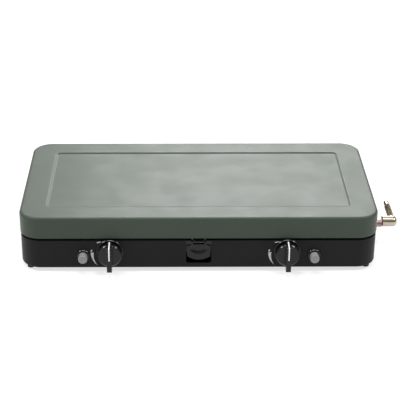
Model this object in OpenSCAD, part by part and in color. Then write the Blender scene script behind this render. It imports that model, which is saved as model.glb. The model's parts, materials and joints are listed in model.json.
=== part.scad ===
// Two-burner camping stove with a hinged lid, closed for carrying.
// The origin is on the ground under the middle of the whole stove, knobs and gas inlet included.
// +X is to the right, +Y to the back and +Z up, all in millimetres.

/* [Body] */
// Width of the closed lid
body_w = 560; // [540:5:600]
// Depth of the closed lid
body_d = 288; // [280:2:320]
// Height from the underside of the base to the top of the lid
body_h = 88; // [86:1:96]
// Plan radius of the lid's corners
corner_r = 32.5; // [28:0.5:36]
// Thickness of the pressed steel sheet
sheet = 1.2; // [0.9:0.1:1.4]
// Height of the rubber feet
foot_h = 6; // [5:0.5:8]

/* [Lid] */
// Height of the lid's skirt
lid_side_h = 35.5; // [34:0.5:40]
// Outer radius where the skirt turns into the top
lid_edge_r = 4; // [3:0.5:5]
// Width of the flat border round the sunken panel
panel_inset = 40; // [38:1:50]
// Depth of the sunken panel
panel_drop = 1.6; // [1:0.1:2]
// Opening angle of the lid
lid_open = 100; // [90:1:105]

/* [Base] */
// Shadow gap between the base and the lid
lid_gap = 3.5; // [3:0.5:4.5]
// How far the lid overhangs the base all round
lid_overhang = 0.7; // [0.5:0.1:1]
// Width of the latch pocket
pocket_w = 39.8; // [38:0.2:42]
// Height of the pocket's sill above the ground
pocket_z = 14.8; // [14:0.2:18]

/* [Burners] */
// Distance of each burner and knob from the middle
burner_x = 138.6; // [134:0.2:142]
// Radius of the burner head
head_r = 30; // [28:0.5:31]
// Height of the pan supports' top above the ground
support_z = 78; // [76:0.5:79]

/* [Knobs and buttons] */
// Height of the knobs' axis above the ground
knob_z = 33.8; // [33:0.1:35]
// Radius of the knob's skirt
knob_r = 18.75; // [17:0.25:19]
// Length of the knob's grip bar
grip_l = 43; // [39:0.5:44]
// How far the grip bar stands out from the base
grip_out = 28; // [24:0.5:30]
// Distance of each igniter button from the middle
button_x = 180.6; // [178:0.2:186]
// Height of the igniter buttons above the ground
button_z = 27.8; // [26:0.1:31]
// How far an igniter button stands out from the base
button_out = 13; // [12:0.5:15]

/* [Gas inlet] */
// Distance of the inlet from the middle, towards the front
inlet_y = 54; // [45:1:60]
// Height of the inlet pipe above the ground
inlet_z = 38; // [36:0.5:40]
// Length of the hose tail, measured from the elbow's axis
tail_l = 68; // [64:1:74]
// Distance of the elbow's outer end from the side of the base
elbow_out = 43; // [42:0.5:48]

/* [Hidden] */
$fn = 64;
SIDES = [-1, 1];

// Levels
base_z = foot_h;
floor_z = base_z + sheet;
lid_z = foot_h + body_h;
skirt_z = lid_z - lid_side_h;
rim_z = skirt_z - lid_gap;
lip_h = 7;
lip_in = 3.5;
tray_t = 0.8;
tray_z = rim_z - 5;
well_r = 84;
well_drop = 4;
well_z = tray_z - well_drop;

// Outlines
base_w = body_w - 2 * lid_overhang;
base_d = body_d - 2 * lid_overhang;
base_r = corner_r - lid_overhang;
base_edge_r = 4;
hem = 2 * sheet;
hem_h = 3.5;
panel_r = 8.5;
panel_slope = 4;
tray_in = lip_in + sheet + 0.4;

// Hinge
hinge_x = 190;
hinge_out = 5;
hinge_y = body_d / 2 + hinge_out;
hinge_z = skirt_z - lid_gap / 2;
knuckle_r = 3.6;
hinge_pin_r = 1.75;
leaf_t = 1.5;
lid_knuckle = 15.2;
knuckle_gap = 0.4;
base_knuckle = 8;
rivet_r = 2;
bracket_rivets_x = [-14, 14];
bracket_rivets_z = rim_z - 16;
leaf_rivets_x = [-11, 11];
leaf_rivets_z = skirt_z + 15;

// The footprint's centre, measured from the middle of the whole stove
place_x = -(elbow_out - lid_overhang) / 2;
place_y = (base_d / 2 + grip_out - hinge_y - knuckle_r) / 2;

// Burner and gas train
burner_y = 4;
cup_r = 25.5;
cup_wall = 2.5;
cup_z = 22;
cup_top = rim_z - 2;
cup_screw_at = 28.6;
cup_screw_r = 1.5;
tube_r = 9;
tube_wall = 1;
port_n = 28;
plug_r = 6;
spindle_r = 3;
run_fit = 0.05;
neck_r = 7;
neck_out = 3;
pipe_r = 4;
pipe_z = 15;
pipe_y = -base_d / 2 + 23;
skirt_in = neck_out + 2.1;
plug_in = 30;

// Igniter
button_r = 7;
igniter_r = 9;
spark_r = 36;
spark_at = [spark_r * cos(45), burner_y - spark_r * sin(45)];
spark_z = 38;
lead_r = 1.5;
lead_bend = 8;

// Feet
foot_x = body_w / 2 - 15.5;
foot_y = body_d / 2 - 19.5;
foot_screw_r = 2;

// Latch
pocket_back = 17;
pocket_step = 10.1;
tab_w = 35.8;
ear_w = 7.9;
ear_h = 6.5;
latch_pin_r = 1.5;
latch_axis = [4.5, rim_z - 4.8];
barrel_r = 3.6;
prong_in = 8.6;
prong_out = 11.4;
nose_z = skirt_z + hem_h + 0.3;

// Inlet
inlet_r = 5.7;
inlet_x0 = base_w / 2 - 18;
elbow_z = inlet_z + 4;
elbow_r = 8.75;
elbow_in = elbow_out - 24.5;
tail_x = base_w / 2 + elbow_out - 7;
tail_r = 4.25;

// Pan supports
wire_r = 2.5;
frame_hx = 116;
frame_hy = 114;
frame_z = tray_z + 9;
frame_bend = 8;
leg_x = frame_hx - frame_bend * (1 - sqrt(0.5));
leg_y = frame_hy - frame_bend * (1 - sqrt(0.5));

// Points of an arc in the plane of a section
function arc(c, r, a0, a1, n = 6) =
    [for (i = [0:n]) c + r * [cos(a0 + (a1 - a0) * i / n), sin(a0 + (a1 - a0) * i / n)]];

// A smooth step from 0 to 1
function ease(t) = (1 - cos(180 * t)) / 2;

module place() {
    translate([place_x, place_y, 0]) children();
}

// Local +Z points out of the front wall and local +Y points up
module on_front(x, z) {
    translate([x, -base_d / 2, z]) rotate([90, 0, 0]) children();
}

module ring(r, hole) {
    difference() {
        circle(r);
        if (hole > 0) circle(hole);
    }
}

// A straight rod, or a pipe with a hole, between two points
module rod(a, b, r, hole = 0) {
    w = (b - a) / norm(b - a);
    u = abs(w.z) > 0.9 ? [1, 0, 0] : cross([0, 0, 1], w) / norm(cross([0, 0, 1], w));
    v = cross(w, u);
    multmatrix([[u.x, v.x, w.x, a.x], [u.y, v.y, w.y, a.y], [u.z, v.z, w.z, a.z], [0, 0, 0, 1]])
        linear_extrude(norm(b - a)) ring(r, hole);
}

// A quarter bend round c, from c + bend * u to c + bend * v
module bend(c, u, v, bend, r, hole = 0) {
    w = cross(u, v);
    multmatrix([[u.x, v.x, w.x, c.x], [u.y, v.y, w.y, c.y], [u.z, v.z, w.z, c.z], [0, 0, 0, 1]])
        rotate_extrude(angle = 90) translate([bend, 0]) ring(r, hole);
}

// Sweeps a section round a rectangle with rounded corners; the section's x is 0 on the outline
// and negative inside it, and its y is height
module sweep_round(w, d, r) {
    for (k = [0:3]) {
        lx = (k % 2 == 0) ? w : d;
        ly = (k % 2 == 0) ? d : w;
        rotate([0, 0, 90 * k]) {
            translate([lx / 2, ly / 2 - r, 0]) rotate([90, 0, 0]) linear_extrude(ly - 2 * r) children();
            translate([lx / 2 - r, ly / 2 - r, 0]) rotate_extrude(angle = 90) translate([r, 0]) children();
        }
    }
}

module round_rect(w, d, r) {
    square([w - 2 * r, d], center = true);
    square([w, d - 2 * r], center = true);
    for (x = SIDES, y = SIDES) translate([x * (w / 2 - r), y * (d / 2 - r)]) circle(r);
}

// A coil spring along +Z from 0 to h
module coil(r, wire, h, turns, sides = 8) {
    steps = 14 * turns;
    rise = (h - wire) / steps;
    ring = [for (i = [0:steps], j = [0:sides - 1])
        let (a = 360 * i / 14, b = 360 * j / sides, q = r + wire / 2 * cos(b))
        [q * cos(a), q * sin(a), wire / 2 + rise * i + wire / 2 * sin(b)]];
    sides_faces = [for (i = [0:steps - 1], j = [0:sides - 1])
        let (k = (j + 1) % sides) [i * sides + j, (i + 1) * sides + j, (i + 1) * sides + k, i * sides + k]];
    start = [[for (j = [0:sides - 1]) j]];
    end = [[for (j = [sides - 1:-1:0]) steps * sides + j]];
    polyhedron(ring, concat(sides_faces, start, end));
}

module hex_nut(flats, hole_r, h) {
    difference() {
        cylinder(r = flats / 2 / cos(30), h = h, $fn = 6);
        translate([0, 0, -1]) cylinder(r = hole_r, h = h + 2);
    }
}

// ---- Base ----

module base_section() {
    r = base_edge_r;
    polygon(concat(
        [[-base_r, base_z]],
        arc([-r, base_z + r], r, -90, 0),
        arc([-sheet, rim_z - sheet], sheet, 0, 90, 4),
        [[-lip_in, rim_z], [-lip_in, rim_z + lip_h], [-lip_in - sheet, rim_z + lip_h]],
        [[-lip_in - sheet, rim_z - sheet], [-sheet, rim_z - sheet]],
        arc([-r, base_z + r], r - sheet, 0, -90),
        [[-base_r, floor_z]]
    ));
}

// The latch pocket's outline, with rounded lower corners, from its sill up to a height
module pocket_opening(top) {
    h = top - pocket_z;
    translate([0, pocket_z + h / 2]) round_rect(pocket_w, h, 4);
    translate([-pocket_w / 2, pocket_z + h / 2]) square([pocket_w, h / 2]);
}

module base_shell() {
    color("#222222") place() difference() {
        union() {
            sweep_round(base_w, base_d, base_r) base_section();
            translate([0, 0, base_z + sheet / 2])
                cube([base_w - 2 * base_r, base_d - 2 * base_r, sheet], center = true);
        }
        // Latch pocket and the slot for the latch's prongs
        on_front(0, 0) translate([0, 0, -lip_in - sheet - 0.1])
            linear_extrude(lip_in + sheet + 1) pocket_opening(rim_z + 1);
        translate([-prong_out - 2, -base_d / 2 - 1, rim_z - 2]) cube([2 * prong_out + 4, 10, lip_h + 3]);
        for (s = SIDES) {
            on_front(s * burner_x, knob_z) translate([0, 0, -5]) cylinder(r = neck_r + 0.15, h = 10);
            on_front(s * button_x, button_z) translate([0, 0, -5]) cylinder(r = igniter_r + 0.15, h = 10);
            for (x = bracket_rivets_x) rivet_hole(s * hinge_x + x, base_d / 2, bracket_rivets_z);
            for (y = SIDES) translate([s * foot_x, y * foot_y, base_z - 1])
                cylinder(r = foot_screw_r + 0.1, h = 5);
            for (k = [-2:2]) {
                translate([s * burner_x + k * 22, burner_y, base_z - 1])
                    linear_extrude(5) round_rect(7, 90, 3.4);
                translate([s * 70 + k * 24, base_d / 2, 30]) rotate([90, 0, 0])
                    linear_extrude(10, center = true) round_rect(16, 6, 2.9);
            }
        }
        translate([base_w / 2, -inlet_y, inlet_z]) rotate([0, 90, 0])
            cylinder(r = inlet_r + 0.1, h = 20, center = true);
    }
}

module latch_pocket() {
    wall = 1.5;
    top = rim_z - sheet - 0.1;
    roof = tray_z - 0.1;
    color("#1c1c1c") place() {
        difference() {
            on_front(0, 0) {
                translate([0, 0, -pocket_back - wall]) linear_extrude(pocket_back + wall - sheet)
                    translate([0, (pocket_z - wall + roof) / 2])
                        round_rect(pocket_w + 2 * wall, roof - pocket_z + wall, 5);
                translate([-pocket_w / 2 - wall, roof - 10, -pocket_step])
                    cube([pocket_w + 2 * wall, top - roof + 10, pocket_step - sheet]);
            }
            on_front(0, 0) {
                translate([0, 0, -pocket_back]) linear_extrude(pocket_back) pocket_opening(roof - wall);
                translate([0, 0, -pocket_step + wall]) linear_extrude(pocket_step) pocket_opening(60);
            }
        }
        for (s = SIDES) difference() {
            translate([s * (pocket_w - ear_w + 0.1) / 2, -base_d / 2 + 5, top - ear_h / 2])
                cube([ear_w + 0.1, 7.5, ear_h], center = true);
            translate([0, -base_d / 2 + latch_axis.x, latch_axis.y]) rotate([0, 90, 0])
                cylinder(r = latch_pin_r + 0.02, h = pocket_w + 2, center = true);
        }
    }
}

module feet() {
    color("#161616") place() for (x = SIDES, y = SIDES) translate([x * foot_x, y * foot_y, 0])
        rotate_extrude() polygon([
            [3.2, 0], [5.6, 0], [6, 0.8], [6.2, foot_h],
            [foot_screw_r + 0.1, foot_h], [foot_screw_r + 0.1, 2.4], [3.2, 2.4]
        ]);
}

module foot_screws() {
    color("#8c8f92") place() for (x = SIDES, y = SIDES) translate([x * foot_x, y * foot_y, 0.6]) {
        difference() {
            cylinder(r = 3, h = 1.8);
            translate([0, 0, -0.5]) rotate([0, 0, 45]) cube([4.6, 0.8, 2], center = true);
            translate([0, 0, -0.5]) rotate([0, 0, -45]) cube([4.6, 0.8, 2], center = true);
        }
        cylinder(r = foot_screw_r, h = floor_z + 3);
        translate([0, 0, floor_z - 0.6]) hex_nut(7, foot_screw_r - 0.1, 3);
    }
}

// The section of the tray's hooked rim, wall and floor edge
module tray_section() {
    x0 = -(tray_in + tray_t);
    top = rim_z + lip_h + 0.1;
    polygon([
        [-lip_in - 0.1, top], [-lip_in - 0.1, top + tray_t], [x0, top + tray_t],
        [x0, tray_z + tray_t], [-base_r, tray_z + tray_t], [-base_r, tray_z],
        [-tray_in, tray_z], [-tray_in, top]
    ]);
}

// The section of a burner well: a sunken floor joined to the tray by a slope
module well_section() {
    polygon([
        [cup_r + 0.4, well_z], [well_r - 6, well_z], [well_r, tray_z], [well_r + 2, tray_z],
        [well_r + 2, tray_z + tray_t], [well_r - 0.4, tray_z + tray_t],
        [well_r - 6.4, well_z + tray_t], [cup_r + 0.4, well_z + tray_t]
    ]);
}

module hob_tray() {
    color("#2a2b2c") place() difference() {
        union() {
            sweep_round(base_w, base_d, base_r) tray_section();
            difference() {
                translate([0, 0, tray_z + tray_t / 2])
                    cube([base_w - 2 * base_r, base_d - 2 * base_r, tray_t], center = true);
                for (s = SIDES) translate([s * burner_x, burner_y, tray_z - 1])
                    cylinder(r = well_r + 1, h = 4);
            }
            for (s = SIDES) translate([s * burner_x, burner_y, 0]) rotate_extrude() well_section();
        }
        translate([-pocket_w / 2 - 2, -base_d / 2 + 2, tray_z - 1])
            cube([pocket_w + 4, pocket_step - 1.5, 20]);
        for (s = SIDES) {
            for (x = SIDES, y = SIDES) translate([s * burner_x + x * leg_x, burner_y + y * leg_y, tray_z - 1])
                cylinder(r = wire_r + 0.6, h = 4);
            for (k = [0:2]) translate([s * burner_x, burner_y, well_z - 1])
                rotate([0, 0, 90 + 120 * k]) translate([cup_screw_at, 0, 0]) cylinder(r = 1.6, h = 4);
            translate([s * (burner_x + spark_at.x), spark_at.y, well_z - 1]) cylinder(r = 3.3, h = 4);
        }
    }
}

module lid_rests() {
    color("#161616") place() for (s = SIDES) {
        translate([s * 110, base_d / 2 - 1.7, rim_z + 1.6]) cube([16, 2.6, 3.2], center = true);
        translate([s * (base_w / 2 - 1.7), -50, rim_z + 1.6]) cube([2.6, 16, 3.2], center = true);
    }
}

// ---- Gas train ----

module valve_body(s) {
    color("#c9a860") place() on_front(s * burner_x, knob_z) difference() {
        union() {
            translate([0, 0, -32]) cylinder(r = 11, h = 32 - sheet - 0.02);
            cylinder(r = neck_r, h = neck_out);
            translate([0, 0, -sheet - 1]) cylinder(r = neck_r, h = sheet + 1.5);
            translate([0, 0, -37]) cylinder(r = 6.5, h = 6);
            translate([-10, pipe_z - knob_z - 7, -32]) cube([20, 17, 18]);
        }
        translate([0, 0, -plug_in - 1]) cylinder(r = plug_r + run_fit, h = 26);
        translate([0, 0, -8]) cylinder(r = spindle_r + 0.3, h = 15);
        translate([0, 0, -40]) cylinder(r = 3.02, h = 12);
        translate([0, pipe_z - knob_z, -base_d / 2 - pipe_y]) rotate([0, 90, 0])
            cylinder(r = pipe_r + 0.03, h = 40, center = true);
    }
}

module valve_nuts() {
    color("#c9c9c4") place() for (s = SIDES) on_front(s * burner_x, knob_z)
        hex_nut(20, neck_r + 0.03, neck_out - 0.2);
}

module injectors() {
    color("#d8b56a") place() for (s = SIDES) on_front(s * burner_x, knob_z) difference() {
        union() {
            translate([0, 0, -36]) cylinder(r = 3, h = 5);
            translate([0, 0, -41]) cylinder(r = 5.2, h = 4, $fn = 6);
            translate([0, 0, -45]) cylinder(r = 2.6, h = 9);
        }
        translate([0, 0, -46]) cylinder(r = 0.4, h = 5);
        translate([0, 0, -42]) cylinder(r = 1.5, h = 12);
    }
}

module venturi_tube(s) {
    mouth = 3.5;
    start = base_d / 2 - 50;
    color("#b9bcc0") place() translate([s * burner_x, -start, knob_z]) rotate([-90, 0, 0])
        rotate_extrude() polygon([
            [tube_r - tube_wall + mouth, 0], [tube_r + mouth, 0], [tube_r + mouth, 1],
            [tube_r, 12], [tube_r, start + burner_y - cup_r + 1],
            [tube_r - tube_wall, start + burner_y - cup_r + 1], [tube_r - tube_wall, 12]
        ]);
}

module tube_brackets() {
    color("#9a9da0") place() for (s = SIDES) translate([s * burner_x, -66, 0]) difference() {
        union() {
            translate([-13, 0, floor_z]) cube([26, 1.5, knob_z + 12 - floor_z]);
            translate([-13, 0, floor_z]) cube([26, 14, 1.5]);
        }
        translate([0, -1, knob_z]) rotate([-90, 0, 0]) cylinder(r = tube_r + 0.03, h = 5);
    }
}

module burner_cup(s) {
    color("#a7a9ab") place() translate([s * burner_x, burner_y, 0]) difference() {
        union() {
            translate([0, 0, cup_z]) cylinder(r = cup_r, h = cup_top - cup_z);
            translate([0, 0, well_z - 3]) cylinder(r = 31.6, h = 3);
            translate([0, 0, knob_z]) rotate([90, 0, 0]) cylinder(r = 11.5, h = cup_r + 9);
        }
        translate([0, 0, cup_z + 3]) cylinder(r = cup_r - cup_wall, h = 60);
        translate([0, 0, knob_z]) rotate([90, 0, 0]) cylinder(r = tube_r + 0.03, h = cup_r + 20);
        for (k = [0:2]) rotate([0, 0, 90 + 120 * k]) translate([cup_screw_at, 0, well_z - 5])
            cylinder(r = cup_screw_r + 0.05, h = 10);
    }
}

module burner_head(s) {
    z = cup_top;
    r_in = 19;
    color("#b4b6b8") place() translate([s * burner_x, burner_y, 0]) difference() {
        rotate_extrude() polygon([
            [r_in, z - 5], [cup_r - cup_wall - 0.3, z - 5], [cup_r - cup_wall - 0.3, z + 0.02],
            [head_r - 2, z + 0.02], [head_r, z + 3], [head_r, z + 9], [head_r - 1.5, z + 11], [r_in, z + 11]
        ]);
        for (k = [0:port_n - 1]) rotate([0, 0, 360 * k / port_n])
            translate([r_in - 2, -1, z + 4.5]) cube([head_r, 2, 4]);
    }
}

module burner_cap(s) {
    z = cup_top + 11;
    r = head_r - 2;
    color("#232323") place() translate([s * burner_x, burner_y, 0])
        rotate_extrude() polygon(concat(
            [[0, z - 3], [18.7, z - 3], [18.7, z + 0.02], [r, z + 0.02]],
            arc([r - 2, z + 2], 2, 0, 70, 4),
            [for (k = [1:5]) [(r - 2) * (1 - k / 5), z + 3.9 + 0.7 * ease(k / 5)]]
        ));
}

module burner_screws() {
    color("#8c8f92") place() for (s = SIDES, k = [0:2]) translate([s * burner_x, burner_y, 0])
        rotate([0, 0, 90 + 120 * k]) translate([cup_screw_at, 0, 0]) {
            translate([0, 0, well_z - 6]) cylinder(r = cup_screw_r, h = 7);
            difference() {
                translate([0, 0, well_z + tray_t]) cylinder(r = 2.9, h = 2);
                translate([0, 0, well_z + tray_t + 2]) cube([4, 0.8, 2], center = true);
            }
        }
}

module spark_insulators() {
    color("#ece8dc") place() for (s = SIDES) translate([s * (burner_x + spark_at.x), spark_at.y, 0])
        difference() {
            union() {
                translate([0, 0, spark_z]) cylinder(r = 3, h = 20);
                translate([0, 0, well_z + tray_t]) cylinder(r = 4.6, h = 2);
            }
            translate([0, 0, spark_z - 1]) cylinder(r = 0.85, h = 30);
        }
}

module spark_pins() {
    r = 0.8;
    b = 2;
    h = 22.5;
    reach = spark_r - head_r - 2 * r;
    color("#a8abad") place() for (s = SIDES)
        translate([s * (burner_x + spark_at.x), spark_at.y, spark_z + 0.5]) rotate([0, 0, 90 + 45 * s]) {
            rod([0, 0, 0], [0, 0, h - b], r);
            bend([b, 0, h - b], [-1, 0, 0], [0, 0, 1], b, r);
            rod([b, 0, h], [reach, 0, h], r);
        }
}

module ignition_lead(s) {
    x0 = s * button_x;
    x1 = s * (burner_x + spark_at.x);
    y0 = -base_d / 2 + 44;
    y1 = spark_at.y;
    b = lead_bend;
    up = spark_z - b - button_z;
    color("#2b2b2b") place() {
        rod([x0, y0, button_z], [x0, y1 - b, button_z], lead_r);
        bend([x0 - s * b, y1 - b, button_z], [s, 0, 0], [0, 1, 0], b, lead_r);
        rod([x0 - s * b, y1, button_z], [x1 + s * b, y1, button_z], lead_r);
        bend([x1 + s * b, y1, button_z + b], [0, 0, -1], [-s, 0, 0], b, lead_r);
        rod([x1, y1, button_z + b], [x1, y1, button_z + b + up], lead_r);
    }
}

module igniter_body(s) {
    color("#1b1b1b") place() on_front(s * button_x, button_z) difference() {
        union() {
            rotate_extrude() polygon([[0, 0], [11, 0], [11, 0.4], [9.9, 2], [0, 2]]);
            translate([0, 0, -40]) cylinder(r = igniter_r, h = 41);
            translate([0, 0, -44]) cylinder(r = 2.4, h = 5);
        }
        translate([0, 0, -26]) cylinder(r = button_r + 0.3, h = 30);
    }
}

module igniter_nuts() {
    color("#4a4a4a") place() for (s = SIDES) on_front(s * button_x, button_z) translate([0, 0, -sheet - 4.02])
        hex_nut(23, igniter_r + 0.02, 4);
}

module igniter_button(s) {
    r = button_r;
    color("#8d8f90") place() on_front(s * button_x, button_z) difference() {
        rotate_extrude() polygon(concat(
            [[0, -14], [r, -14]], arc([r - 1, button_out - 1], 1, 0, 90, 4), [[0, button_out]]
        ));
        translate([0, 0, button_out + 27.4]) sphere(r = 28, $fn = 96);
    }
}

module knob_bezel(s) {
    color("#202020") place() on_front(s * burner_x, knob_z)
        rotate_extrude($fn = 96) polygon([[12.2, 0], [22, 0], [21, 1.4], [20.7, 1.5], [12.2, 1.5]]);
}

module manifold_pipe() {
    b = 10;
    hole = pipe_r - 1;
    x_drop = 240;
    color("#b8babd") place() {
        rod([inlet_x0, -inlet_y, inlet_z], [x_drop + b, -inlet_y, inlet_z], pipe_r, hole);
        bend([x_drop + b, -inlet_y, inlet_z - b], [0, 0, 1], [-1, 0, 0], b, pipe_r, hole);
        rod([x_drop, -inlet_y, inlet_z - b], [x_drop, -inlet_y, pipe_z + b], pipe_r, hole);
        bend([x_drop, -inlet_y - b, pipe_z + b], [0, 1, 0], [0, 0, -1], b, pipe_r, hole);
        rod([x_drop, -inlet_y - b, pipe_z], [x_drop, pipe_y + b, pipe_z], pipe_r, hole);
        bend([x_drop - b, pipe_y + b, pipe_z], [1, 0, 0], [0, -1, 0], b, pipe_r, hole);
        rod([x_drop - b, pipe_y, pipe_z], [-burner_x - 13, pipe_y, pipe_z], pipe_r, hole);
    }
}

module inlet_pipe() {
    color("#b98a78") place()
        rod([inlet_x0, -inlet_y, inlet_z], [base_w / 2 + elbow_in, -inlet_y, inlet_z], inlet_r, pipe_r - 1);
}

module inlet_nut() {
    color("#c9a860") place() translate([base_w / 2 - sheet - 5.02, -inlet_y, inlet_z])
        rotate([0, 90, 0]) hex_nut(18, inlet_r + 0.03, 5);
}

module hose_tail_elbow() {
    x0 = base_w / 2 + elbow_in;
    x1 = base_w / 2 + elbow_out;
    heel = 6.5;
    barb = [[3.6, 0.3], [5.2, 0.8], [4.4, 3.4], [3.6, 3.9]];
    pitch = 4.6;
    first = 14;
    color("#c2b280") place() difference() {
        union() {
            translate([x0, -inlet_y, elbow_z]) rotate([0, 90, 0]) rotate_extrude() polygon(concat(
                [[0, 0], [elbow_r - 1.2, 0], [elbow_r, 1.2]],
                arc([elbow_r - heel, x1 - x0 - heel], heel, 0, 90, 8), [[0, x1 - x0]]
            ));
            translate([tail_x, -inlet_y, elbow_z]) rotate([-90, 0, 0]) rotate_extrude() polygon(concat(
                [[0, 0], [6.9, 0], [6.9, elbow_r - 1], [5.6, elbow_r + 3], [4.2, elbow_r + 5]],
                [for (k = [0:8], q = barb) q + [0, first + k * pitch]],
                [[tail_r, first + 42], [tail_r, tail_l - 1], [tail_r - 0.7, tail_l], [0, tail_l]]
            ));
        }
        translate([tail_x, -inlet_y, elbow_z]) rotate([-90, 0, 0]) cylinder(r = 2.4, h = tail_l + 1);
        rod([x0 - 1, -inlet_y, inlet_z + 1], [tail_x, -inlet_y, inlet_z + 1], 2);
    }
}

// ---- Hinges ----

module knuckle(x0, w) {
    translate([x0, hinge_y, hinge_z]) rotate([0, 90, 0]) cylinder(r = knuckle_r, h = w);
}

module knuckle_hole(x0, w, hole_r) {
    translate([x0 - 1, hinge_y, hinge_z]) rotate([0, 90, 0]) cylinder(r = hole_r, h = w + 2);
}

// Extrudes a section of the YZ plane along X
module along_x(x0, w) {
    translate([x0, 0, 0]) rotate([90, 0, 90]) linear_extrude(w) children();
}

module hinge_bracket(s) {
    y0 = base_d / 2;
    k0 = s * hinge_x - lid_knuckle / 2 - knuckle_gap - base_knuckle;
    k1 = s * hinge_x + lid_knuckle / 2 + knuckle_gap;
    color("#2b2b2b") place() difference() {
        union() {
            translate([s * hinge_x - 20, y0, rim_z - 25]) cube([40, leaf_t, 23]);
            for (x = [k0, k1]) {
                knuckle(x, base_knuckle);
                along_x(x, base_knuckle) polygon([
                    [y0, rim_z - 5], [y0 + leaf_t, rim_z - 5], [hinge_y + 1.5, hinge_z - knuckle_r + 0.4],
                    [hinge_y, hinge_z], [hinge_y - knuckle_r + 0.2, hinge_z - 0.6], [y0, rim_z - 1.6]
                ]);
            }
        }
        knuckle_hole(k0, 2 * base_knuckle + lid_knuckle + 1, hinge_pin_r + 0.02);
        for (x = bracket_rivets_x) rivet_hole(s * hinge_x + x, y0, bracket_rivets_z);
    }
}

module hinge_leaf(s) {
    y0 = body_d / 2;
    k = s * hinge_x - lid_knuckle / 2;
    color("#5d685f") place() difference() {
        union() {
            translate([s * hinge_x - 16, y0, skirt_z + 4]) cube([32, leaf_t, 20]);
            knuckle(k, lid_knuckle);
            along_x(k, lid_knuckle) polygon([
                [y0, skirt_z + 7], [y0 + leaf_t, skirt_z + 7], [hinge_y + 2.4, hinge_z + 2.6],
                [hinge_y, hinge_z], [hinge_y - knuckle_r + 0.3, hinge_z + 1], [y0, skirt_z + 3]
            ]);
        }
        knuckle_hole(k, lid_knuckle, hinge_pin_r + 0.07);
        for (x = leaf_rivets_x) rivet_hole(s * hinge_x + x, y0, leaf_rivets_z);
    }
}

module hinge_pins() {
    w = lid_knuckle + 2 * knuckle_gap + 2 * base_knuckle;
    color("#a8abad") place() for (s = SIDES) translate([s * hinge_x - w / 2 - 1, hinge_y, hinge_z])
        rotate([0, 90, 0]) cylinder(r = hinge_pin_r, h = w + 2);
}

// A rivet along Y that grips the sheets in front of y, with its domed head behind y
module rivet(x, y, z, grip) {
    translate([x, y, z]) rotate([90, 0, 0]) {
        cylinder(r = rivet_r, h = grip);
        rotate([180, 0, 0]) rotate_extrude($fn = 32)
            polygon(concat([[0, 0]], arc([0, -1.6], 3.2, 30, 85, 4), [[0, 1.6]]));
        translate([0, 0, grip]) cylinder(r = 3, h = 0.9);
    }
}

module rivet_hole(x, y, z) {
    translate([x, y, z]) rotate([90, 0, 0]) cylinder(r = rivet_r + 0.02, h = 10, center = true);
}

module bracket_rivets() {
    color("#3a3a3a") place() for (s = SIDES, x = bracket_rivets_x)
        rivet(s * hinge_x + x, base_d / 2 + leaf_t, bracket_rivets_z, leaf_t + sheet);
}

module leaf_rivets() {
    color("#5d685f") place() for (s = SIDES, x = leaf_rivets_x)
        rivet(s * hinge_x + x, body_d / 2 + leaf_t, leaf_rivets_z, leaf_t + sheet);
}

// ---- Lid ----

module lid_section() {
    r = lid_edge_r;
    polygon(concat(
        arc([-sheet, skirt_z + sheet], sheet, 180, 360, 6),
        arc([-r, lid_z - r], r, 0, 90, 8),
        [[-corner_r, lid_z], [-corner_r, lid_z - sheet]],
        arc([-r, lid_z - r], r - sheet, 90, 0, 8),
        [[-sheet, skirt_z + hem_h], [-hem, skirt_z + hem_h]]
    ));
}

// The pressed step down to the sunken panel
module step_section() {
    n = 8;
    top = [for (k = [0:n]) [-panel_slope * k / n, lid_z - panel_drop * ease(k / n)]];
    low = [for (k = [n:-1:0]) [-panel_slope * k / n, lid_z - sheet - panel_drop * ease(k / n)]];
    polygon(concat(top, [[-panel_r, lid_z - panel_drop], [-panel_r, lid_z - panel_drop - sheet]], low));
}

module lid_shell() {
    pw = body_w - 2 * panel_inset;
    pd = body_d - 2 * panel_inset;
    color("#7d877e") place() difference() {
        union() {
            sweep_round(body_w, body_d, corner_r) lid_section();
            difference() {
                translate([0, 0, lid_z - sheet / 2])
                    cube([body_w - 2 * corner_r, body_d - 2 * corner_r, sheet], center = true);
                translate([0, 0, lid_z - 5]) linear_extrude(10) round_rect(pw, pd, panel_r);
            }
            sweep_round(pw, pd, panel_r) step_section();
            translate([0, 0, lid_z - panel_drop - sheet / 2])
                cube([pw - 2 * panel_r, pd - 2 * panel_r, sheet], center = true);
        }
        for (s = SIDES, x = leaf_rivets_x) rivet_hole(s * hinge_x + x, body_d / 2, leaf_rivets_z);
    }
}

// ---- Latch ----

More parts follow.
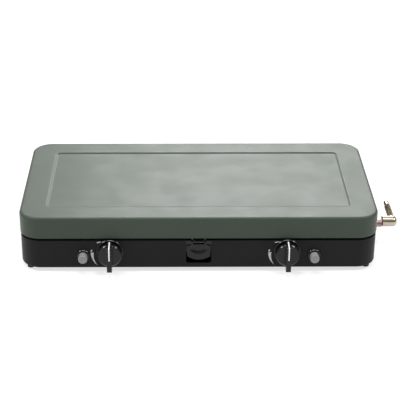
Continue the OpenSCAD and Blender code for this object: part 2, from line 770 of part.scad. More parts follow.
module latch_tab() {
    face = -0.4;
    thick = 5;
    shoulder_z = rim_z - sheet - 0.1 - ear_h - 1.8;
    side_z = 27;
    lip_z = 20.7;
    bow = ((tab_w / 2) ^ 2 + (side_z - lip_z) ^ 2) / (2 * (side_z - lip_z));
    dish_z = 43.9;
    dish_r = 6.8;
    dish_d = 3.57;
    dish_bend = 10;
    mid_w = pocket_w - 2 * ear_w - 0.8;
    color("#262627") place() difference() {
        union() {
            on_front(0, 0) difference() {
                translate([0, 0, face - thick]) linear_extrude(thick) intersection() {
                    union() {
                        translate([-tab_w / 2, 0]) square([tab_w, shoulder_z]);
                        translate([-mid_w / 2, 0]) square([mid_w, latch_axis.y + 1.5]);
                    }
                    translate([0, lip_z + bow]) circle(bow, $fn = 128);
                }
                translate([0, dish_z, face]) rotate_extrude($fn = 96) polygon(concat(
                    [[0, 1], [0, -dish_d], [dish_r, -dish_d]],
                    arc([dish_r, dish_bend - dish_d], dish_bend, -90, -40, 8), [[dish_r + 9, 1]]
                ));
            }
            on_front(0, latch_axis.y) translate([0, 0, -latch_axis.x]) rotate([0, 90, 0])
                cylinder(r = barrel_r, h = mid_w, center = true);
            for (s = SIDES) on_front(s * (prong_in + prong_out) / 2, 0)
                translate([0, (latch_axis.y + nose_z + 2) / 2, -5])
                    cube([prong_out - prong_in, nose_z + 2 - latch_axis.y, 2.6], center = true);
            on_front(0, nose_z + 1) translate([0, 0, -4.4]) cube([2 * prong_out, 2, 3.6], center = true);
        }
        on_front(0, latch_axis.y) translate([0, 0, -latch_axis.x]) rotate([0, 90, 0]) {
            cylinder(r = latch_pin_r + run_fit, h = tab_w, center = true);
            cylinder(r = barrel_r + 1, h = 2 * prong_in, center = true);
        }
    }
}

module latch_pin() {
    color("#55575a") place() on_front(0, latch_axis.y) translate([0, 0, -latch_axis.x]) rotate([0, 90, 0])
        cylinder(r = latch_pin_r, h = pocket_w - 1, center = true);
}

module latch_spring() {
    w = 2 * prong_in - 4;
    color("#55575a") place() on_front(0, latch_axis.y)
        translate([-w / 2, 0, -latch_axis.x]) rotate([0, 90, 0]) coil(2.2, 0.6, w, 8);
}

// ---- Knobs ----

module valve_plug(s) {
    color("#bfa262") place() on_front(s * burner_x, knob_z) difference() {
        translate([0, 0, -plug_in]) cylinder(r = plug_r, h = 16);
        translate([0, 0, 3 - plug_in]) cylinder(r = spindle_r + run_fit, h = 20);
    }
}

module spindle(s) {
    color("#b8babd") place() on_front(s * burner_x, knob_z) {
        translate([0, 0, -22]) cylinder(r = spindle_r, h = 39);
        translate([0, 0, -6.5]) cylinder(r = 5.4, h = 1.2);
    }
}

module knob_spring(s) {
    color("#b8babd") place() on_front(s * burner_x, knob_z) translate([0, 0, -13.9]) coil(4.3, 0.8, 7.3, 5);
}

// Side view of the grip bar: x runs along the bar and y out of the base
module grip_outline(inset = 0) {
    r = 3 - inset;
    h = grip_l / 2 - inset;
    z = grip_out - inset;
    polygon(concat(
        [[-h, skirt_in]], arc([-h + r, z - r], r, 180, 90),
        arc([h - r, z - r], r, 90, 0), [[h, skirt_in]]
    ));
}

// The line that runs over the bar's upper end and half way down its front
module pointer_inlay(gap) {
    w = 1.9 - 2 * gap;
    along_x(-w / 2, w) intersection() {
        difference() {
            grip_outline();
            grip_outline(0.6 - gap);
        }
        translate([0, skirt_in + 1 + gap]) square([grip_l, grip_out]);
    }
}

module knob(s) {
    skirt_out = 12.5;
    grip_w = 7.7;
    color("#242424") place() on_front(s * burner_x, knob_z) difference() {
        union() {
            difference() {
                union() {
                    rotate_extrude($fn = 96) polygon(concat(
                        [[0, skirt_in], [knob_r, skirt_in], [knob_r, skirt_out - 2.2]],
                        [[knob_r - 1.5, skirt_out - 0.15], [knob_r - 1.9, skirt_out], [0, skirt_out]]
                    ));
                    along_x(-grip_w / 2, grip_w) grip_outline();
                }
                translate([0, 0, skirt_in - 1]) cylinder(r = knob_r - 2, h = skirt_out - skirt_in);
            }
            translate([0, 0, skirt_in + 1.4]) cylinder(r = 6, h = 7);
        }
        translate([0, 0, skirt_in]) cylinder(r = spindle_r + 0.02, h = 17 - skirt_in + 0.1);
        pointer_inlay(0);
    }
}

module knob_pointer(s) {
    color("white") place() on_front(s * burner_x, knob_z) pointer_inlay(0.02);
}

// The light grey marks beside each knob: a tapering crescent with a small flame, and a spark
module marks() {
    r = 30;
    intersection() {
        difference() {
            circle(r, $fn = 96);
            translate([4.4, -4.9]) circle(r, $fn = 96);
        }
        translate([-40, -40]) square([40, 40]);
    }
    translate([1.2 - r, 2.4]) intersection() {
        translate([1.4, 0.2]) circle(2.5);
        translate([-1.2, 1.2]) circle(2.6);
    }
    translate([-17, 18]) rotate([0, 0, 15]) round_rect(6.4, 1.7, 0.8);
}

module panel_marks() {
    color("#b5b7b5") place() for (s = SIDES) on_front(s * burner_x, knob_z) linear_extrude(0.15) marks();
}

// ---- Pan supports ----

module pan_support(s) {
    b = frame_bend;
    z1 = support_z - wire_r;
    color("#b9bbbd") place() translate([s * burner_x, burner_y, 0]) {
        for (k = [0:3]) {
            hx = (k % 2 == 0) ? frame_hx : frame_hy;
            hy = (k % 2 == 0) ? frame_hy : frame_hx;
            rotate([0, 0, 90 * k]) {
                rod([hx, -hy + b, frame_z], [hx, hy - b, frame_z], wire_r);
                bend([hx - b, hy - b, frame_z], [1, 0, 0], [0, 1, 0], b, wire_r);
                rod([hx, 0, frame_z], [hx, 0, z1 - b], wire_r);
                bend([hx - b, 0, z1 - b], [1, 0, 0], [0, 0, 1], b, wire_r);
                rod([hx - b, 0, z1], [22, 0, z1], wire_r);
                translate([22, 0, z1]) sphere(wire_r);
            }
        }
        for (x = SIDES, y = SIDES) translate([x * leg_x, y * leg_y, 0]) {
            translate([0, 0, tray_z - 3]) cylinder(r = wire_r, h = 12);
            translate([0, 0, tray_z + tray_t + 0.02]) cylinder(r = 4.4, h = 2);
        }
    }
}

base_shell();
latch_pocket();
hob_tray();
feet();
foot_screws();
valve_body(-1);  // valve_body_left
valve_body(1);  // valve_body_right
valve_nuts();
injectors();
venturi_tube(-1);  // venturi_tube_left
venturi_tube(1);  // venturi_tube_right
tube_brackets();
burner_cup(-1);  // burner_cup_left
burner_cup(1);  // burner_cup_right
burner_head(-1);  // burner_head_left
burner_head(1);  // burner_head_right
burner_cap(-1);  // burner_cap_left
burner_cap(1);  // burner_cap_right
burner_screws();
spark_insulators();
spark_pins();
ignition_lead(-1);  // ignition_lead_left
ignition_lead(1);  // ignition_lead_right
igniter_body(-1);  // igniter_body_left
igniter_body(1);  // igniter_body_right
igniter_nuts();
knob_bezel(-1);  // knob_bezel_left
knob_bezel(1);  // knob_bezel_right
panel_marks();
manifold_pipe();
inlet_pipe();
inlet_nut();
hose_tail_elbow();
hinge_bracket(-1);  // hinge_bracket_left
hinge_bracket(1);  // hinge_bracket_right
hinge_pins();
bracket_rivets();
latch_pin();
lid_rests();
lid_shell();
hinge_leaf(-1);  // hinge_leaf_left
hinge_leaf(1);  // hinge_leaf_right
leaf_rivets();
latch_tab();
latch_spring();
valve_plug(-1);  // valve_plug_left
valve_plug(1);  // valve_plug_right
knob(-1);  // knob_left
knob(1);  // knob_right
spindle(-1);  // spindle_left
spindle(1);  // spindle_right
knob_pointer(-1);  // knob_pointer_left
knob_pointer(1);  // knob_pointer_right
knob_spring(-1);  // knob_spring_left
knob_spring(1);  // knob_spring_right
igniter_button(-1);  // igniter_button_left
igniter_button(1);  // igniter_button_right
pan_support(-1);  // pan_support_left
pan_support(1);  // pan_support_right
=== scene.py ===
"""A closed two-burner camping stove: the looks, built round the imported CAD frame.

Lengths are in metres, in the CAD's own frame: +X right, +Y back, +Z up, origin on the ground.
"""

import json
import math

import bmesh
import bpy
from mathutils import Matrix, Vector, noise


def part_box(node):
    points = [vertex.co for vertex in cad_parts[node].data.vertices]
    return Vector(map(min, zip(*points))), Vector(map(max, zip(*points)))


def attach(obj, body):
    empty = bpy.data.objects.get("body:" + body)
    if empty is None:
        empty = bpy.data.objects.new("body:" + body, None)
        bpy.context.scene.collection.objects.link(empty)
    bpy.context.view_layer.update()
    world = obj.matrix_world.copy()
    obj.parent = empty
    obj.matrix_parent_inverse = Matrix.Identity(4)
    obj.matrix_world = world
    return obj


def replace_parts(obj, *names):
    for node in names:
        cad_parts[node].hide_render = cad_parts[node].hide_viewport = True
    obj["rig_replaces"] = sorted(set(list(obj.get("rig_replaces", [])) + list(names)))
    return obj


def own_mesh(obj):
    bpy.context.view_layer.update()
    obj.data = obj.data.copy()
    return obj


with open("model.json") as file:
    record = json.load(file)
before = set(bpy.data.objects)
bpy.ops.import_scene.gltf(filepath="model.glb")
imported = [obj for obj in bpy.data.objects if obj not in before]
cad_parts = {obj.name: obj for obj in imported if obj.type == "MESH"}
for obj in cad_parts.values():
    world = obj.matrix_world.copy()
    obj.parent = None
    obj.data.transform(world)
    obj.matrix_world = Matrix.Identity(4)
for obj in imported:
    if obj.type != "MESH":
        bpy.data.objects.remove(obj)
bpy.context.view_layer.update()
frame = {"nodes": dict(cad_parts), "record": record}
nodes = frame["nodes"]
MM = 0.001
SIDES = ("left", "right")
AXIS_X, AXIS_Y = 0, 1
node_body = {n: body for body, members in frame["record"]["behaviour"]["bodies"].items() for n in members}
node_slot = {part["node"]: part["material_slot"] for part in frame["record"]["subparts"]}


# ---- Camera, floor and light ----

def aim_camera():
    """A long lens in front of the stove, a little to its left, looking down on it."""
    look_down, look_right = 26.697, 0.283
    data = bpy.data.cameras.new("camera")
    data.sensor_width = 36
    data.lens = 110.05
    data.shift_x = 0.0673
    data.clip_end = 50
    camera = bpy.data.objects.new("camera", data)
    camera.location = (-0.05895, -1.87555, 0.9872)
    camera.rotation_euler = (math.radians(90 - look_down), 0, math.radians(-look_right))
    bpy.context.scene.collection.objects.link(camera)
    bpy.context.scene.camera = camera


def softbox(name, at, target, size, power):
    """A rectangular lamp that faces the target. Its power is in watts."""
    data = bpy.data.lights.new(name, "AREA")
    data.shape = "RECTANGLE"
    data.size, data.size_y = size
    data.energy = power
    light = bpy.data.objects.new(name, data)
    light.location = at
    light.rotation_euler = (Vector(target) - Vector(at)).to_track_quat("-Z", "Y").to_euler()
    light.visible_camera = False
    bpy.context.scene.collection.objects.link(light)


def light_studio():
    softbox("overhead", (-0.05, -0.42, 2.2), (0, -0.1, 0), (1.5, 0.6), 24)
    softbox("back", (0.24, 3.0, 2.0), (0, 0, 0.1), (1.4, 1.3), 76)
    softbox("left", (-1.9, -0.35, 2.0), (0, 0, 0.05), (0.55, 0.7), 24)
    softbox("right", (1.9, -0.35, 2.0), (0, 0, 0.05), (0.55, 0.7), 21)
    light_world()
    bpy.context.scene.view_settings.view_transform = "Standard"


def light_world():
    """A white surround, brightest high up at the back on the left and dimmest low down at the front."""
    brightest = Vector((-0.35, 0.5, 1)).normalized()
    dim, bright = 0.12, 0.8
    world = bpy.data.worlds.new("studio")
    world.use_nodes = True
    tree = world.node_tree
    background = tree.nodes["Background"]
    background.inputs["Color"].default_value = (1, 1, 1, 1)
    toward = tree.nodes.new("ShaderNodeVectorMath")
    toward.operation = "DOT_PRODUCT"
    toward.inputs[1].default_value = brightest
    strength = tree.nodes.new("ShaderNodeMapRange")
    for socket, value in (("From Min", -0.5), ("From Max", 1.0), ("To Min", dim), ("To Max", bright)):
        strength.inputs[socket].default_value = value
    tree.links.new(tree.nodes.new("ShaderNodeTexCoord").outputs["Generated"], toward.inputs[0])
    tree.links.new(toward.outputs["Value"], strength.inputs["Value"])
    tree.links.new(strength.outputs["Result"], background.inputs["Strength"])
    bpy.context.scene.world = world


def lay_floor():
    """A pale table that gives off some light itself, so that the stove throws next to no shadow on it."""
    half_width, glow = 9, 0.68
    bm = bmesh.new()
    bmesh.ops.create_grid(bm, x_segments=8, y_segments=8, size=half_width)
    mesh = bpy.data.meshes.new("floor")
    bm.to_mesh(mesh)
    bm.free()
    floor = bpy.data.objects.new("floor", mesh)
    bpy.context.scene.collection.objects.link(floor)
    paper = Surface("studio_paper", (0.36, 0.36, 0.36), 0.95, specular=0.1)
    paper.put("Emission Color", (1, 1, 1, 1))
    paper.put("Emission Strength", glow)
    floor.data.materials.append(paper.material)


# ---- Materials ----

class Surface:
    """A material on one Principled shader. Texture sizes and bump depths are in metres."""

    def __init__(self, name, color, roughness, metallic=0.0, specular=0.5, coat=0.0, coat_roughness=0.1):
        self.material = bpy.data.materials.new(name)
        self.material.use_nodes = True
        self.tree = self.material.node_tree
        self.shader = self.tree.nodes["Principled BSDF"]
        self.place = self.add("ShaderNodeTexCoord").outputs["Object"]
        self.color = (*color, 1)
        self.color_from = None
        self.normal_from = None
        self.put("Base Color", self.color)
        self.put("Roughness", roughness)
        self.put("Metallic", metallic)
        self.put("Specular IOR Level", specular)
        self.put("Coat Weight", coat)
        self.put("Coat Roughness", coat_roughness)
        self.material.diffuse_color = self.color

    def add(self, kind, **settings):
        node = self.tree.nodes.new(kind)
        for key, value in settings.items():
            setattr(node, key, value)
        return node

    def put(self, socket, value):
        self.shader.inputs[socket].default_value = value

    def link(self, a, b):
        self.tree.links.new(a, b)

    def noise(self, size, detail=3.0, stretch=(1, 1, 1), rough=0.5):
        """Cloudy noise with features of that size, from 0 to 1. stretch lengthens them along an axis."""
        scaled = self.add("ShaderNodeMapping")
        scaled.inputs["Scale"].default_value = [1 / s for s in stretch]
        self.link(self.place, scaled.inputs["Vector"])
        texture = self.add("ShaderNodeTexNoise")
        texture.inputs["Scale"].default_value = 1 / size
        texture.inputs["Detail"].default_value = detail
        texture.inputs["Roughness"].default_value = rough
        self.link(scaled.outputs["Vector"], texture.inputs["Vector"])
        return texture.outputs["Fac"]

    def cells(self, size):
        """Distance to the nearest of scattered points about that far apart, as a share of it."""
        texture = self.add("ShaderNodeTexVoronoi", feature="F1")
        texture.inputs["Scale"].default_value = 1 / size
        self.link(self.place, texture.inputs["Vector"])
        return texture.outputs["Distance"]

    def between(self, value, start, end, low=0.0, high=1.0):
        """Maps start..end to low..high, clamped."""
        node = self.add("ShaderNodeMapRange")
        for socket, number in zip(("From Min", "From Max", "To Min", "To Max"), (start, end, low, high)):
            node.inputs[socket].default_value = number
        self.link(value, node.inputs["Value"])
        return node.outputs["Result"]

    def times(self, a, b):
        node = self.add("ShaderNodeMath", operation="MULTIPLY")
        for socket, value in zip(node.inputs, (a, b)):
            if isinstance(value, float):
                socket.default_value = value
            else:
                self.link(value, socket)
        return node.outputs["Value"]

    def edges(self, radius, sharp=0.06):
        """1 on outer and inner edges, over about that radius, and 0 on flat or gently curved surfaces."""
        bevel = self.add("ShaderNodeBevel", samples=4)
        bevel.inputs["Radius"].default_value = radius
        dot = self.add("ShaderNodeVectorMath", operation="DOT_PRODUCT")
        self.link(bevel.outputs["Normal"], dot.inputs[0])
        self.link(self.add("ShaderNodeNewGeometry").outputs["Normal"], dot.inputs[1])
        return self.between(dot.outputs["Value"], 1.0 - sharp / 6, 1.0 - sharp)

    def hollows(self, reach):
        """1 in grooves narrower than about that reach, 0 in the open, from ambient occlusion; used to paint
        shade into grooves.
        """
        shade = self.add("ShaderNodeAmbientOcclusion", samples=8, only_local=True)
        shade.inputs["Distance"].default_value = reach
        return self.between(shade.outputs["AO"], 0.75, 0.4)

    def tint(self, mask, color):
        """Mixes the colour towards another one where mask is 1."""
        mix = self.add("ShaderNodeMix", data_type="RGBA")
        factor, first, second = (mix.inputs[i] for i in (0, 6, 7))
        self.link(mask, factor)
        if self.color_from is None:
            first.default_value = self.color
        else:
            self.link(self.color_from, first)
        second.default_value = (*color, 1)
        self.color_from = mix.outputs[2]
        self.link(self.color_from, self.shader.inputs["Base Color"])

    def shades(self, mask, dark, light):
        """Cloudy patches of the colour times dark and of the colour times light."""
        self.tint(self.between(mask, 0.62, 0.32), [c * dark for c in self.color[:3]])
        self.tint(self.between(mask, 0.45, 0.75), [min(1.0, c * light) for c in self.color[:3]])

    def rough(self, mask, low, high):
        self.link(self.between(mask, 0.3, 0.7, low, high), self.shader.inputs["Roughness"])

    def bump(self, height, depth):
        node = self.add("ShaderNodeBump")
        node.inputs["Distance"].default_value = depth
        self.link(height, node.inputs["Height"])
        if self.normal_from is not None:
            self.link(self.normal_from, node.inputs["Normal"])
        self.normal_from = node.outputs["Normal"]
        self.link(self.normal_from, self.shader.inputs["Normal"])


def green_paint():
    """Satin powder coat: a fine orange peel, thinner and a little lighter on the edges."""
    s = Surface("green_powder_coat", (0.046, 0.062, 0.046), 0.42, specular=0.21)
    s.shades(s.noise(0.09, 4), 0.965, 1.03)
    s.tint(s.times(s.edges(1.0 * MM), 0.25), (0.14, 0.165, 0.14))
    s.rough(s.noise(0.035, 5), 0.39, 0.45)
    s.bump(s.noise(1.7 * MM, 2), 0.010 * MM)
    s.bump(s.noise(0.45 * MM, 1), 0.004 * MM)
    return s.material


def black_paint():
    s = Surface("black_powder_coat", (0.0082, 0.0082, 0.0082), 0.45, specular=0.14)
    s.shades(s.noise(0.07, 4), 0.9, 1.12)
    s.tint(s.times(s.edges(0.8 * MM), 0.35), (0.028, 0.028, 0.029))
    s.rough(s.noise(0.03, 5), 0.41, 0.5)
    s.bump(s.noise(1.2 * MM, 2), 0.012 * MM)
    s.bump(s.noise(0.4 * MM, 1), 0.005 * MM)
    return s.material


def tray_enamel():
    """Glossy black enamel with fine pale specks."""
    s = Surface("tray_enamel", (0.013, 0.0135, 0.0145), 0.2, specular=0.5, coat=0.3, coat_roughness=0.08)
    s.shades(s.noise(0.05, 4), 0.85, 1.2)
    s.tint(s.times(s.between(s.cells(3.2 * MM), 0.1, 0.04), 0.6), (0.16, 0.165, 0.17))
    s.rough(s.noise(0.02, 5), 0.16, 0.27)
    s.bump(s.noise(4 * MM, 2), 0.02 * MM)
    return s.material


def moulded_plastic(name, color, roughness, grain=0.35 * MM, depth=0.012 * MM, specular=0.4):
    """Moulded plastic with a fine spark-eroded texture and lighter edges: partly wear from handling, partly
    a painted highlight along the edges.
    """
    s = Surface(name, color, roughness, specular=specular)
    s.shades(s.noise(0.012, 4), 0.92, 1.08)
    # Painted highlight: edges are lightened, partly as wear from handling and partly to brighten the
    # highlight arcs on rims and skirts.
    s.tint(s.times(s.edges(0.5 * MM), 0.3), [min(1.0, c * 1.7 + 0.012) for c in color])
    s.rough(s.noise(6 * MM, 4), roughness - 0.05, roughness + 0.06)
    s.bump(s.noise(grain, 2), depth)
    return s.material


def rubber():
    s = Surface("rubber", (0.016, 0.016, 0.0165), 0.75, specular=0.25)
    s.shades(s.noise(4 * MM, 5), 0.85, 1.3)
    s.rough(s.noise(2 * MM, 4), 0.68, 0.85)
    s.bump(s.noise(0.3 * MM, 3), 0.02 * MM)
    return s.material


def print_ink():
    s = Surface("pad_print", (0.52, 0.53, 0.52), 0.5, specular=0.35)
    s.shades(s.noise(1.5 * MM, 4), 0.86, 1.08)
    s.rough(s.noise(1 * MM, 3), 0.42, 0.58)
    s.bump(s.noise(0.25 * MM, 2), 0.004 * MM)
    return s.material


def white_inlay():
    s = Surface("white_inlay", (0.93, 0.93, 0.92), 0.3, specular=0.5)
    s.shades(s.noise(3 * MM, 4), 0.95, 1.03)
    s.rough(s.noise(2 * MM, 3), 0.24, 0.36)
    s.bump(s.noise(0.6 * MM, 2), 0.006 * MM)
    return s.material


def cast_aluminium():
    """Sand-cast skin with small pits, brighter where it was machined or rubbed."""
    s = Surface("cast_aluminium", (0.50, 0.505, 0.51), 0.48, metallic=1.0)
    s.shades(s.noise(9 * MM, 5), 0.82, 1.12)
    s.tint(s.between(s.cells(1.6 * MM), 0.16, 0.05, 0.0, 0.6), (0.2, 0.2, 0.2))
    s.tint(s.times(s.edges(0.7 * MM), 0.6), (0.72, 0.725, 0.73))
    s.rough(s.noise(3 * MM, 4), 0.38, 0.6)
    s.bump(s.noise(0.8 * MM, 4, rough=0.7), 0.05 * MM)
    return s.material


def cap_enamel():
    s = Surface("cap_enamel", (0.017, 0.017, 0.018), 0.5, specular=0.4)
    s.shades(s.noise(8 * MM, 5), 0.8, 1.3)
    s.tint(s.times(s.edges(0.8 * MM), 0.4), (0.07, 0.068, 0.066))
    s.rough(s.noise(5 * MM, 4), 0.42, 0.62)
    s.bump(s.noise(0.6 * MM, 3), 0.02 * MM)
    return s.material


def zinc_plate():
    """Bright zinc plate: a slightly blue steel with soft cloudy patches."""
    s = Surface("zinc_plate", (0.56, 0.575, 0.60), 0.3, metallic=1.0)
    s.shades(s.noise(5 * MM, 4), 0.86, 1.08)
    s.tint(s.times(s.edges(0.4 * MM), 0.5), (0.75, 0.76, 0.77))
    s.rough(s.noise(2.5 * MM, 4), 0.22, 0.4)
    s.bump(s.noise(0.5 * MM, 3), 0.006 * MM)
    return s.material


def black_phosphate():
    s = Surface("black_phosphate", (0.075, 0.075, 0.08), 0.4, metallic=1.0)
    s.shades(s.noise(4 * MM, 4), 0.8, 1.2)
    s.tint(s.times(s.edges(0.3 * MM), 0.5), (0.2, 0.2, 0.21))
    s.rough(s.noise(2 * MM, 4), 0.32, 0.5)
    s.bump(s.noise(0.4 * MM, 3), 0.006 * MM)
    return s.material


def yellow_zinc():
    """Yellow passivated zinc: pale gold that drifts to pink, green and violet, with painted shade darkening
    the grooves.
    """
    s = Surface("yellow_zinc", (0.48, 0.42, 0.31), 0.2, metallic=1.0)
    s.tint(s.between(s.noise(7 * MM, 2), 0.50, 0.62, 0.0, 0.85), (0.47, 0.33, 0.34))
    s.tint(s.between(s.noise(5 * MM, 2, stretch=(1.6, 1, 1)), 0.54, 0.66, 0.0, 0.8), (0.36, 0.43, 0.27))
    s.tint(s.between(s.noise(4 * MM, 3, stretch=(1, 2, 1)), 0.60, 0.72, 0.0, 0.6), (0.40, 0.33, 0.44))
    s.tint(s.times(s.edges(0.5 * MM), 0.5), (0.68, 0.62, 0.50))
    # Painted shade: the grooves between the barbs are darkened where ambient occlusion is low.
    s.tint(s.times(s.hollows(1.0 * MM), 0.9), (0.03, 0.022, 0.016))
    s.rough(s.noise(2 * MM, 4), 0.14, 0.28)
    s.bump(s.noise(1.2 * MM, 3), 0.012 * MM)
    return s.material


def copper_pipe():
    s = Surface("copper_pipe", (0.40, 0.27, 0.25), 0.42, metallic=1.0)
    s.shades(s.noise(6 * MM, 4), 0.78, 1.1)
    s.tint(s.between(s.noise(3 * MM, 3), 0.58, 0.72, 0.0, 0.5), (0.40, 0.25, 0.20))
    s.rough(s.noise(2 * MM, 4, stretch=(6, 1, 1)), 0.38, 0.52)
    s.bump(s.noise(0.4 * MM, 2, stretch=(10, 1, 1)), 0.008 * MM)
    return s.material


def machined_brass():
    s = Surface("machined_brass", (0.62, 0.45, 0.20), 0.28, metallic=1.0)
    s.shades(s.noise(6 * MM, 4), 0.82, 1.08)
    s.tint(s.times(s.edges(0.5 * MM), 0.5), (0.78, 0.62, 0.34))
    s.rough(s.noise(3 * MM, 4), 0.2, 0.4)
    s.bump(s.noise(0.3 * MM, 2, stretch=(1, 8, 1)), 0.006 * MM)
    return s.material


def chrome_wire():
    """Chromed wire: bright, with faint drawing lines and slight heat colour towards the inner ends."""
    s = Surface("chrome_wire", (0.62, 0.625, 0.64), 0.14, metallic=1.0)
    s.shades(s.noise(0.02, 4), 0.88, 1.05)
    s.tint(s.between(s.noise(0.03, 3), 0.56, 0.7, 0.0, 0.25), (0.50, 0.44, 0.36))
    s.rough(s.noise(4 * MM, 4), 0.1, 0.22)
    s.bump(s.noise(0.8 * MM, 2), 0.004 * MM)
    return s.material


def glazed_ceramic():
    s = Surface("glazed_ceramic", (0.80, 0.78, 0.71), 0.16, specular=0.5, coat=0.6, coat_roughness=0.05)
    s.shades(s.noise(3 * MM, 4), 0.93, 1.03)
    s.rough(s.noise(2 * MM, 3), 0.12, 0.24)
    s.bump(s.noise(1.5 * MM, 2), 0.01 * MM)
    return s.material


def lead_sleeve():
    s = Surface("lead_sleeve", (0.02, 0.02, 0.021), 0.45, specular=0.4)
    s.shades(s.noise(5 * MM, 4), 0.85, 1.2)
    s.rough(s.noise(2 * MM, 4), 0.38, 0.55)
    s.bump(s.noise(0.5 * MM, 2), 0.01 * MM)
    return s.material


def make_looks():
    return {
        "lid_green": green_paint(),
        "base_black": black_paint(),
        "tray_black": tray_enamel(),
        "black_plastic": moulded_plastic("black_plastic", (0.0075, 0.0075, 0.0077), 0.18, specular=0.3),
        "button_grey": moulded_plastic("button_grey", (0.26, 0.26, 0.257), 0.36),
        "white_inlay": white_inlay(),
        "print_grey": print_ink(),
        "rubber": rubber(),
        "cast_aluminium": cast_aluminium(),
        "cap_enamel": cap_enamel(),
        "zinc_steel": zinc_plate(),
        "dark_steel": black_phosphate(),
        "yellow_zinc": yellow_zinc(),
        "copper_pipe": copper_pipe(),
        "brass": machined_brass(),
        "chrome_wire": chrome_wire(),
        "ceramic": glazed_ceramic(),
        "lead_black": lead_sleeve(),
    }


# ---- Shapes ----

def finish_piece(name, mesh, stands_for):
    """Adds a piece that stands for CAD nodes of one slot and body, with their look."""
    piece = bpy.data.objects.new(name, mesh)
    bpy.context.scene.collection.objects.link(piece)
    mesh.materials.clear()
    mesh.materials.append(looks[node_slot[stands_for]])
    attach(piece, node_body[stands_for])
    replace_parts(piece, stands_for)
    return piece


def softened(node, width):
    """A copy of a CAD node whose sharp edges are rounded to that width."""
    same_point, flat, sharp_edge = 1e-6, math.radians(0.5), math.radians(32)
    mesh = nodes[node].data.copy()
    bm = bmesh.new()
    bm.from_mesh(mesh)
    bmesh.ops.remove_doubles(bm, verts=bm.verts, dist=same_point)
    bmesh.ops.dissolve_limit(bm, angle_limit=flat, verts=bm.verts, edges=bm.edges)
    bm.to_mesh(mesh)
    bm.free()
    for name in ("custom_normal", "sharp_edge", "sharp_face"):
        if name in mesh.attributes:
            mesh.attributes.remove(mesh.attributes[name])
    for polygon in mesh.polygons:
        polygon.use_smooth = True
    holder = bpy.data.objects.new("holder", mesh)
    bpy.context.scene.collection.objects.link(holder)
    bevel = holder.modifiers.new("bevel", "BEVEL")
    bevel.width = width
    bevel.segments = 2
    bevel.limit_method = "ANGLE"
    bevel.angle_limit = sharp_edge
    bevel.use_clamp_overlap = True
    bevel.miter_outer = "MITER_ARC"
    weighted = holder.modifiers.new("weighted", "WEIGHTED_NORMAL")
    weighted.keep_sharp = True
    graph = bpy.context.evaluated_depsgraph_get()
    final = bpy.data.meshes.new_from_object(holder.evaluated_get(graph), depsgraph=graph)
    bpy.data.objects.remove(holder)
    return finish_piece(node + "_soft", final, node)


def ease(t):
    """From 0 to 1 with a soft start and end."""
    return (1 - math.cos(math.pi * t)) / 2


def ring_points(hx, hy, r):
    """Points round a rectangle with rounded corners; every size gives the same number of points."""
    corner_n, along = 16, (28, 14)
    centres = [(1, 1), (-1, 1), (-1, -1), (1, -1)]
    points = []
    for k, (sx, sy) in enumerate(centres):
        arc = [
            (sx * (hx - r) + r * math.cos(a), sy * (hy - r) + r * math.sin(a))
            for a in (math.pi / 2 * (k + i / corner_n) for i in range(corner_n + 1))
        ]
        points += arc
        nx, ny = centres[(k + 1) % 4]
        a = math.pi / 2 * (k + 1)
        start = Vector(arc[-1])
        end = Vector((nx * (hx - r) + r * math.cos(a), ny * (hy - r) + r * math.sin(a)))
        n = along[k % 2]
        points += [tuple(start.lerp(end, i / n)) for i in range(1, n)]
    return points


def ripple(x, y):
    """The slight waves of pressed sheet, from -1 to 1."""
    size, seed = 0.11, 3.1
    return noise.noise(Vector((x / size, y / size, seed)))


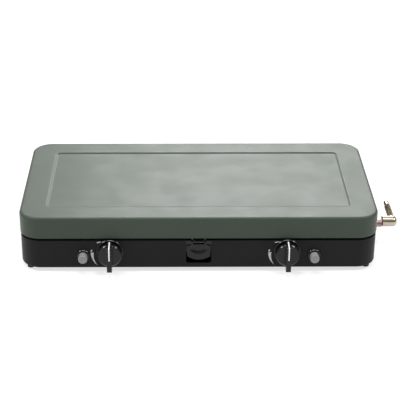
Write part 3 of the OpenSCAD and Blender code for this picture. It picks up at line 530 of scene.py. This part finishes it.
def build_lid():
    """The pressed lid: a rolled hem, a skirt, a rounded edge, a flat border and a sunken, crowned panel."""
    lo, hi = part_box("lid_shell")
    cx, cy = (lo.x + hi.x) / 2, (lo.y + hi.y) / 2
    hx, hy = (hi.x - lo.x) / 2, (hi.y - lo.y) / 2
    skirt, top = lo.z, hi.z
    sheet, corner, edge = 1.2 * MM, 32.5 * MM, 4 * MM
    inset, drop, slope, panel_r = 40 * MM, 1.6 * MM, 4 * MM, 8.5 * MM
    crown, wave = 0.7 * MM, 0.10 * MM

    def corner_at(u):
        if u <= edge:
            return corner - u
        if u <= inset:
            return corner - edge + (panel_r - corner + edge) * (u - edge) / (inset - edge)
        if u <= inset + slope:
            return panel_r - (u - inset)
        return min(panel_r - slope + 0.4 * (u - inset - slope), hy - u)

    hem = [(sheet - sheet * math.cos(a), skirt + sheet - sheet * math.sin(a))
           for a in (math.pi * (1 - i / 8) for i in range(9))]
    hem = [(2 * sheet, skirt + 3.5 * MM)] + hem
    fillet = [(edge - edge * math.cos(a), top - edge + edge * math.sin(a))
              for a in (math.pi / 2 * i / 10 for i in range(11))]
    border = [(u * MM, top) for u in (6, 10, 18, 26, 33, 37, 38.8)]
    step = [(inset - 0.6 * MM + (slope + 1.2 * MM) * i / 14, top - drop * ease(i / 14)) for i in range(15)]
    panel = [(u * MM, top - drop) for u in (45.5, 48, 54, 64, 76, 90, 104, 118, 130, 138)]
    outer = hem + [(0, skirt + z * MM) for z in (4, 12, 20, 28)] + fillet + border + step + panel
    under = [(u, z - sheet) for u, z in reversed(border + step + panel)]
    inner_r = edge - sheet
    inner_fillet = [(edge - inner_r * math.cos(a), top - edge + inner_r * math.sin(a))
                    for a in (math.pi / 2 * (1 - i / 8) for i in range(9))]
    inner = under + inner_fillet + [(sheet, skirt + z * MM) for z in (28, 20, 12, 3.5)]

    def wavy(x, y, u, z):
        """Height with the panel's crown and the sheet's waves; both fade out towards the rounded edge."""
        inside = max(0.0, min(1.0, (u - inset - slope) / (60 * MM)))
        calm = max(0.0, min(1.0, (u - edge) / (20 * MM)))
        return z + crown * ease(inside) + wave * calm * (ripple(x, y) - 0.9)

    bm = bmesh.new()

    def add_ring(u, z):
        points = ring_points(hx - u, hy - u, corner_at(u))
        return [bm.verts.new((cx + x, cy + y, wavy(x, y, u, z))) for x, y in points]

    def skin(rings):
        for a, b in zip(rings, rings[1:]):
            for i in range(len(a)):
                j = (i + 1) % len(a)
                bm.faces.new((a[i], a[j], b[j], b[i]))

    outside = [add_ring(u, z) for u, z in outer]
    inside = [add_ring(u, z) for u, z in inner]
    skin(outside)
    bm.faces.new(outside[-1])
    skin(inside)
    bm.faces.new(list(reversed(inside[0])))
    skin([inside[-1], outside[0]])
    centre_faces = [f for f in bm.faces if len(f.verts) > 4]
    bmesh.ops.triangulate(bm, faces=centre_faces, ngon_method="BEAUTY")
    bmesh.ops.recalc_face_normals(bm, faces=bm.faces)
    mesh = bpy.data.meshes.new("lid_pressing")
    bm.to_mesh(mesh)
    bm.free()
    for polygon in mesh.polygons:
        polygon.use_smooth = True
    mesh.set_sharp_from_angle(angle=math.radians(50))
    return finish_piece("lid_pressing", mesh, "lid_shell")


def helix(name, node, axis, wire, turns):
    """A smooth coil spring that fills a spring node's box along the X or Y axis."""
    lo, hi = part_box(node)
    centre = (lo + hi) / 2
    length = hi[axis] - lo[axis]
    u, v = [(1, 2), (2, 0), (0, 1)][axis]
    radius = (hi[u] - lo[u]) / 2 - wire / 2
    steps_per_turn = 28
    steps = steps_per_turn * turns
    curve = bpy.data.curves.new(name, "CURVE")
    curve.dimensions = "3D"
    curve.bevel_depth = wire / 2
    curve.bevel_resolution = 3
    curve.use_fill_caps = True
    spline = curve.splines.new("POLY")
    spline.points.add(steps)
    for i, point in enumerate(spline.points):
        a = 2 * math.pi * turns * i / steps
        at = centre.copy()
        at[axis] += (length - wire) * (i / steps - 0.5)
        at[u] += radius * math.cos(a)
        at[v] += radius * math.sin(a)
        point.co = (*at, 1)
    holder = bpy.data.objects.new("holder", curve)
    bpy.context.scene.collection.objects.link(holder)
    graph = bpy.context.evaluated_depsgraph_get()
    mesh = bpy.data.meshes.new_from_object(holder.evaluated_get(graph), depsgraph=graph)
    bpy.data.objects.remove(holder)
    for polygon in mesh.polygons:
        polygon.use_smooth = True
    return finish_piece(name, mesh, node)


def lathe(name, node, profile):
    """Turns a closed profile round the Y axis through the middle of a node's box.

    The profile lists (radius, distance in front of the box's back).
    """
    lo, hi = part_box(node)
    cx, cz = (lo.x + hi.x) / 2, (lo.z + hi.z) / 2
    segments = 128
    angles = [2 * math.pi * i / segments for i in range(segments)]
    bm = bmesh.new()
    rings = [[bm.verts.new((cx + r * math.cos(a), hi.y - out, cz + r * math.sin(a))) for a in angles]
             for r, out in profile]
    for a, b in zip(rings, rings[1:] + rings[:1]):
        for i in range(segments):
            j = (i + 1) % segments
            bm.faces.new((a[i], a[j], b[j], b[i]))
    bmesh.ops.recalc_face_normals(bm, faces=bm.faces)
    mesh = bpy.data.meshes.new(name)
    bm.to_mesh(mesh)
    bm.free()
    for polygon in mesh.polygons:
        polygon.use_smooth = True
    mesh.set_sharp_from_angle(angle=math.radians(40))
    return finish_piece(name, mesh, node)


def build_bezel(side):
    """The ring behind a knob: a rounded rim round a slightly sunken face."""
    profile = (
        (22, 0), (22, 0.1), (21.93, 0.22), (21.1, 1.33), (21, 1.44), (20.8, 1.5),
        (20.2, 1.5), (19.9, 1.2), (12.6, 1.2), (12.2, 0.8), (12.2, 0),
    )
    return lathe(f"bezel_ring_{side}", f"knob_bezel_{side}", [(r * MM, out * MM) for r, out in profile])


def build_knob_coil(side):
    """The spring under a knob, as a coil in a mesh of its own."""
    coil = helix(f"knob_coil_{side}", f"knob_spring_{side}", AXIS_Y, 0.8 * MM, 5)
    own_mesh(coil)
    return coil


def keep_cad_nodes(replaced):
    """Gives every CAD node that still shows its finished material."""
    for name, obj in nodes.items():
        if name not in replaced:
            for slot in obj.material_slots:
                slot.material = looks[node_slot[name]]


aim_camera()
light_studio()
lay_floor()
looks = make_looks()
pieces = [build_lid()]
for name, width in {
    "base_shell": 0.30, "latch_pocket": 0.25, "latch_tab": 0.35, "hob_tray": 0.2,
    "hose_tail_elbow": 0.25, "inlet_nut": 0.3, "tube_brackets": 0.3,
}.items():
    pieces.append(softened(name, width * MM))
for side in SIDES:
    for name, width in {
        "knob": 0.45, "igniter_body": 0.25, "valve_body": 0.4, "burner_cup": 0.4,
        "burner_head": 0.3, "hinge_bracket": 0.25, "hinge_leaf": 0.25, "igniter_button": 0.2,
    }.items():
        pieces.append(softened(f"{name}_{side}", width * MM))
    pieces.append(build_bezel(side))
    pieces.append(build_knob_coil(side))
pieces.append(helix("latch_coil", "latch_spring", AXIS_X, 0.6 * MM, 8))
keep_cad_nodes({n for piece in pieces for n in piece["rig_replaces"]})
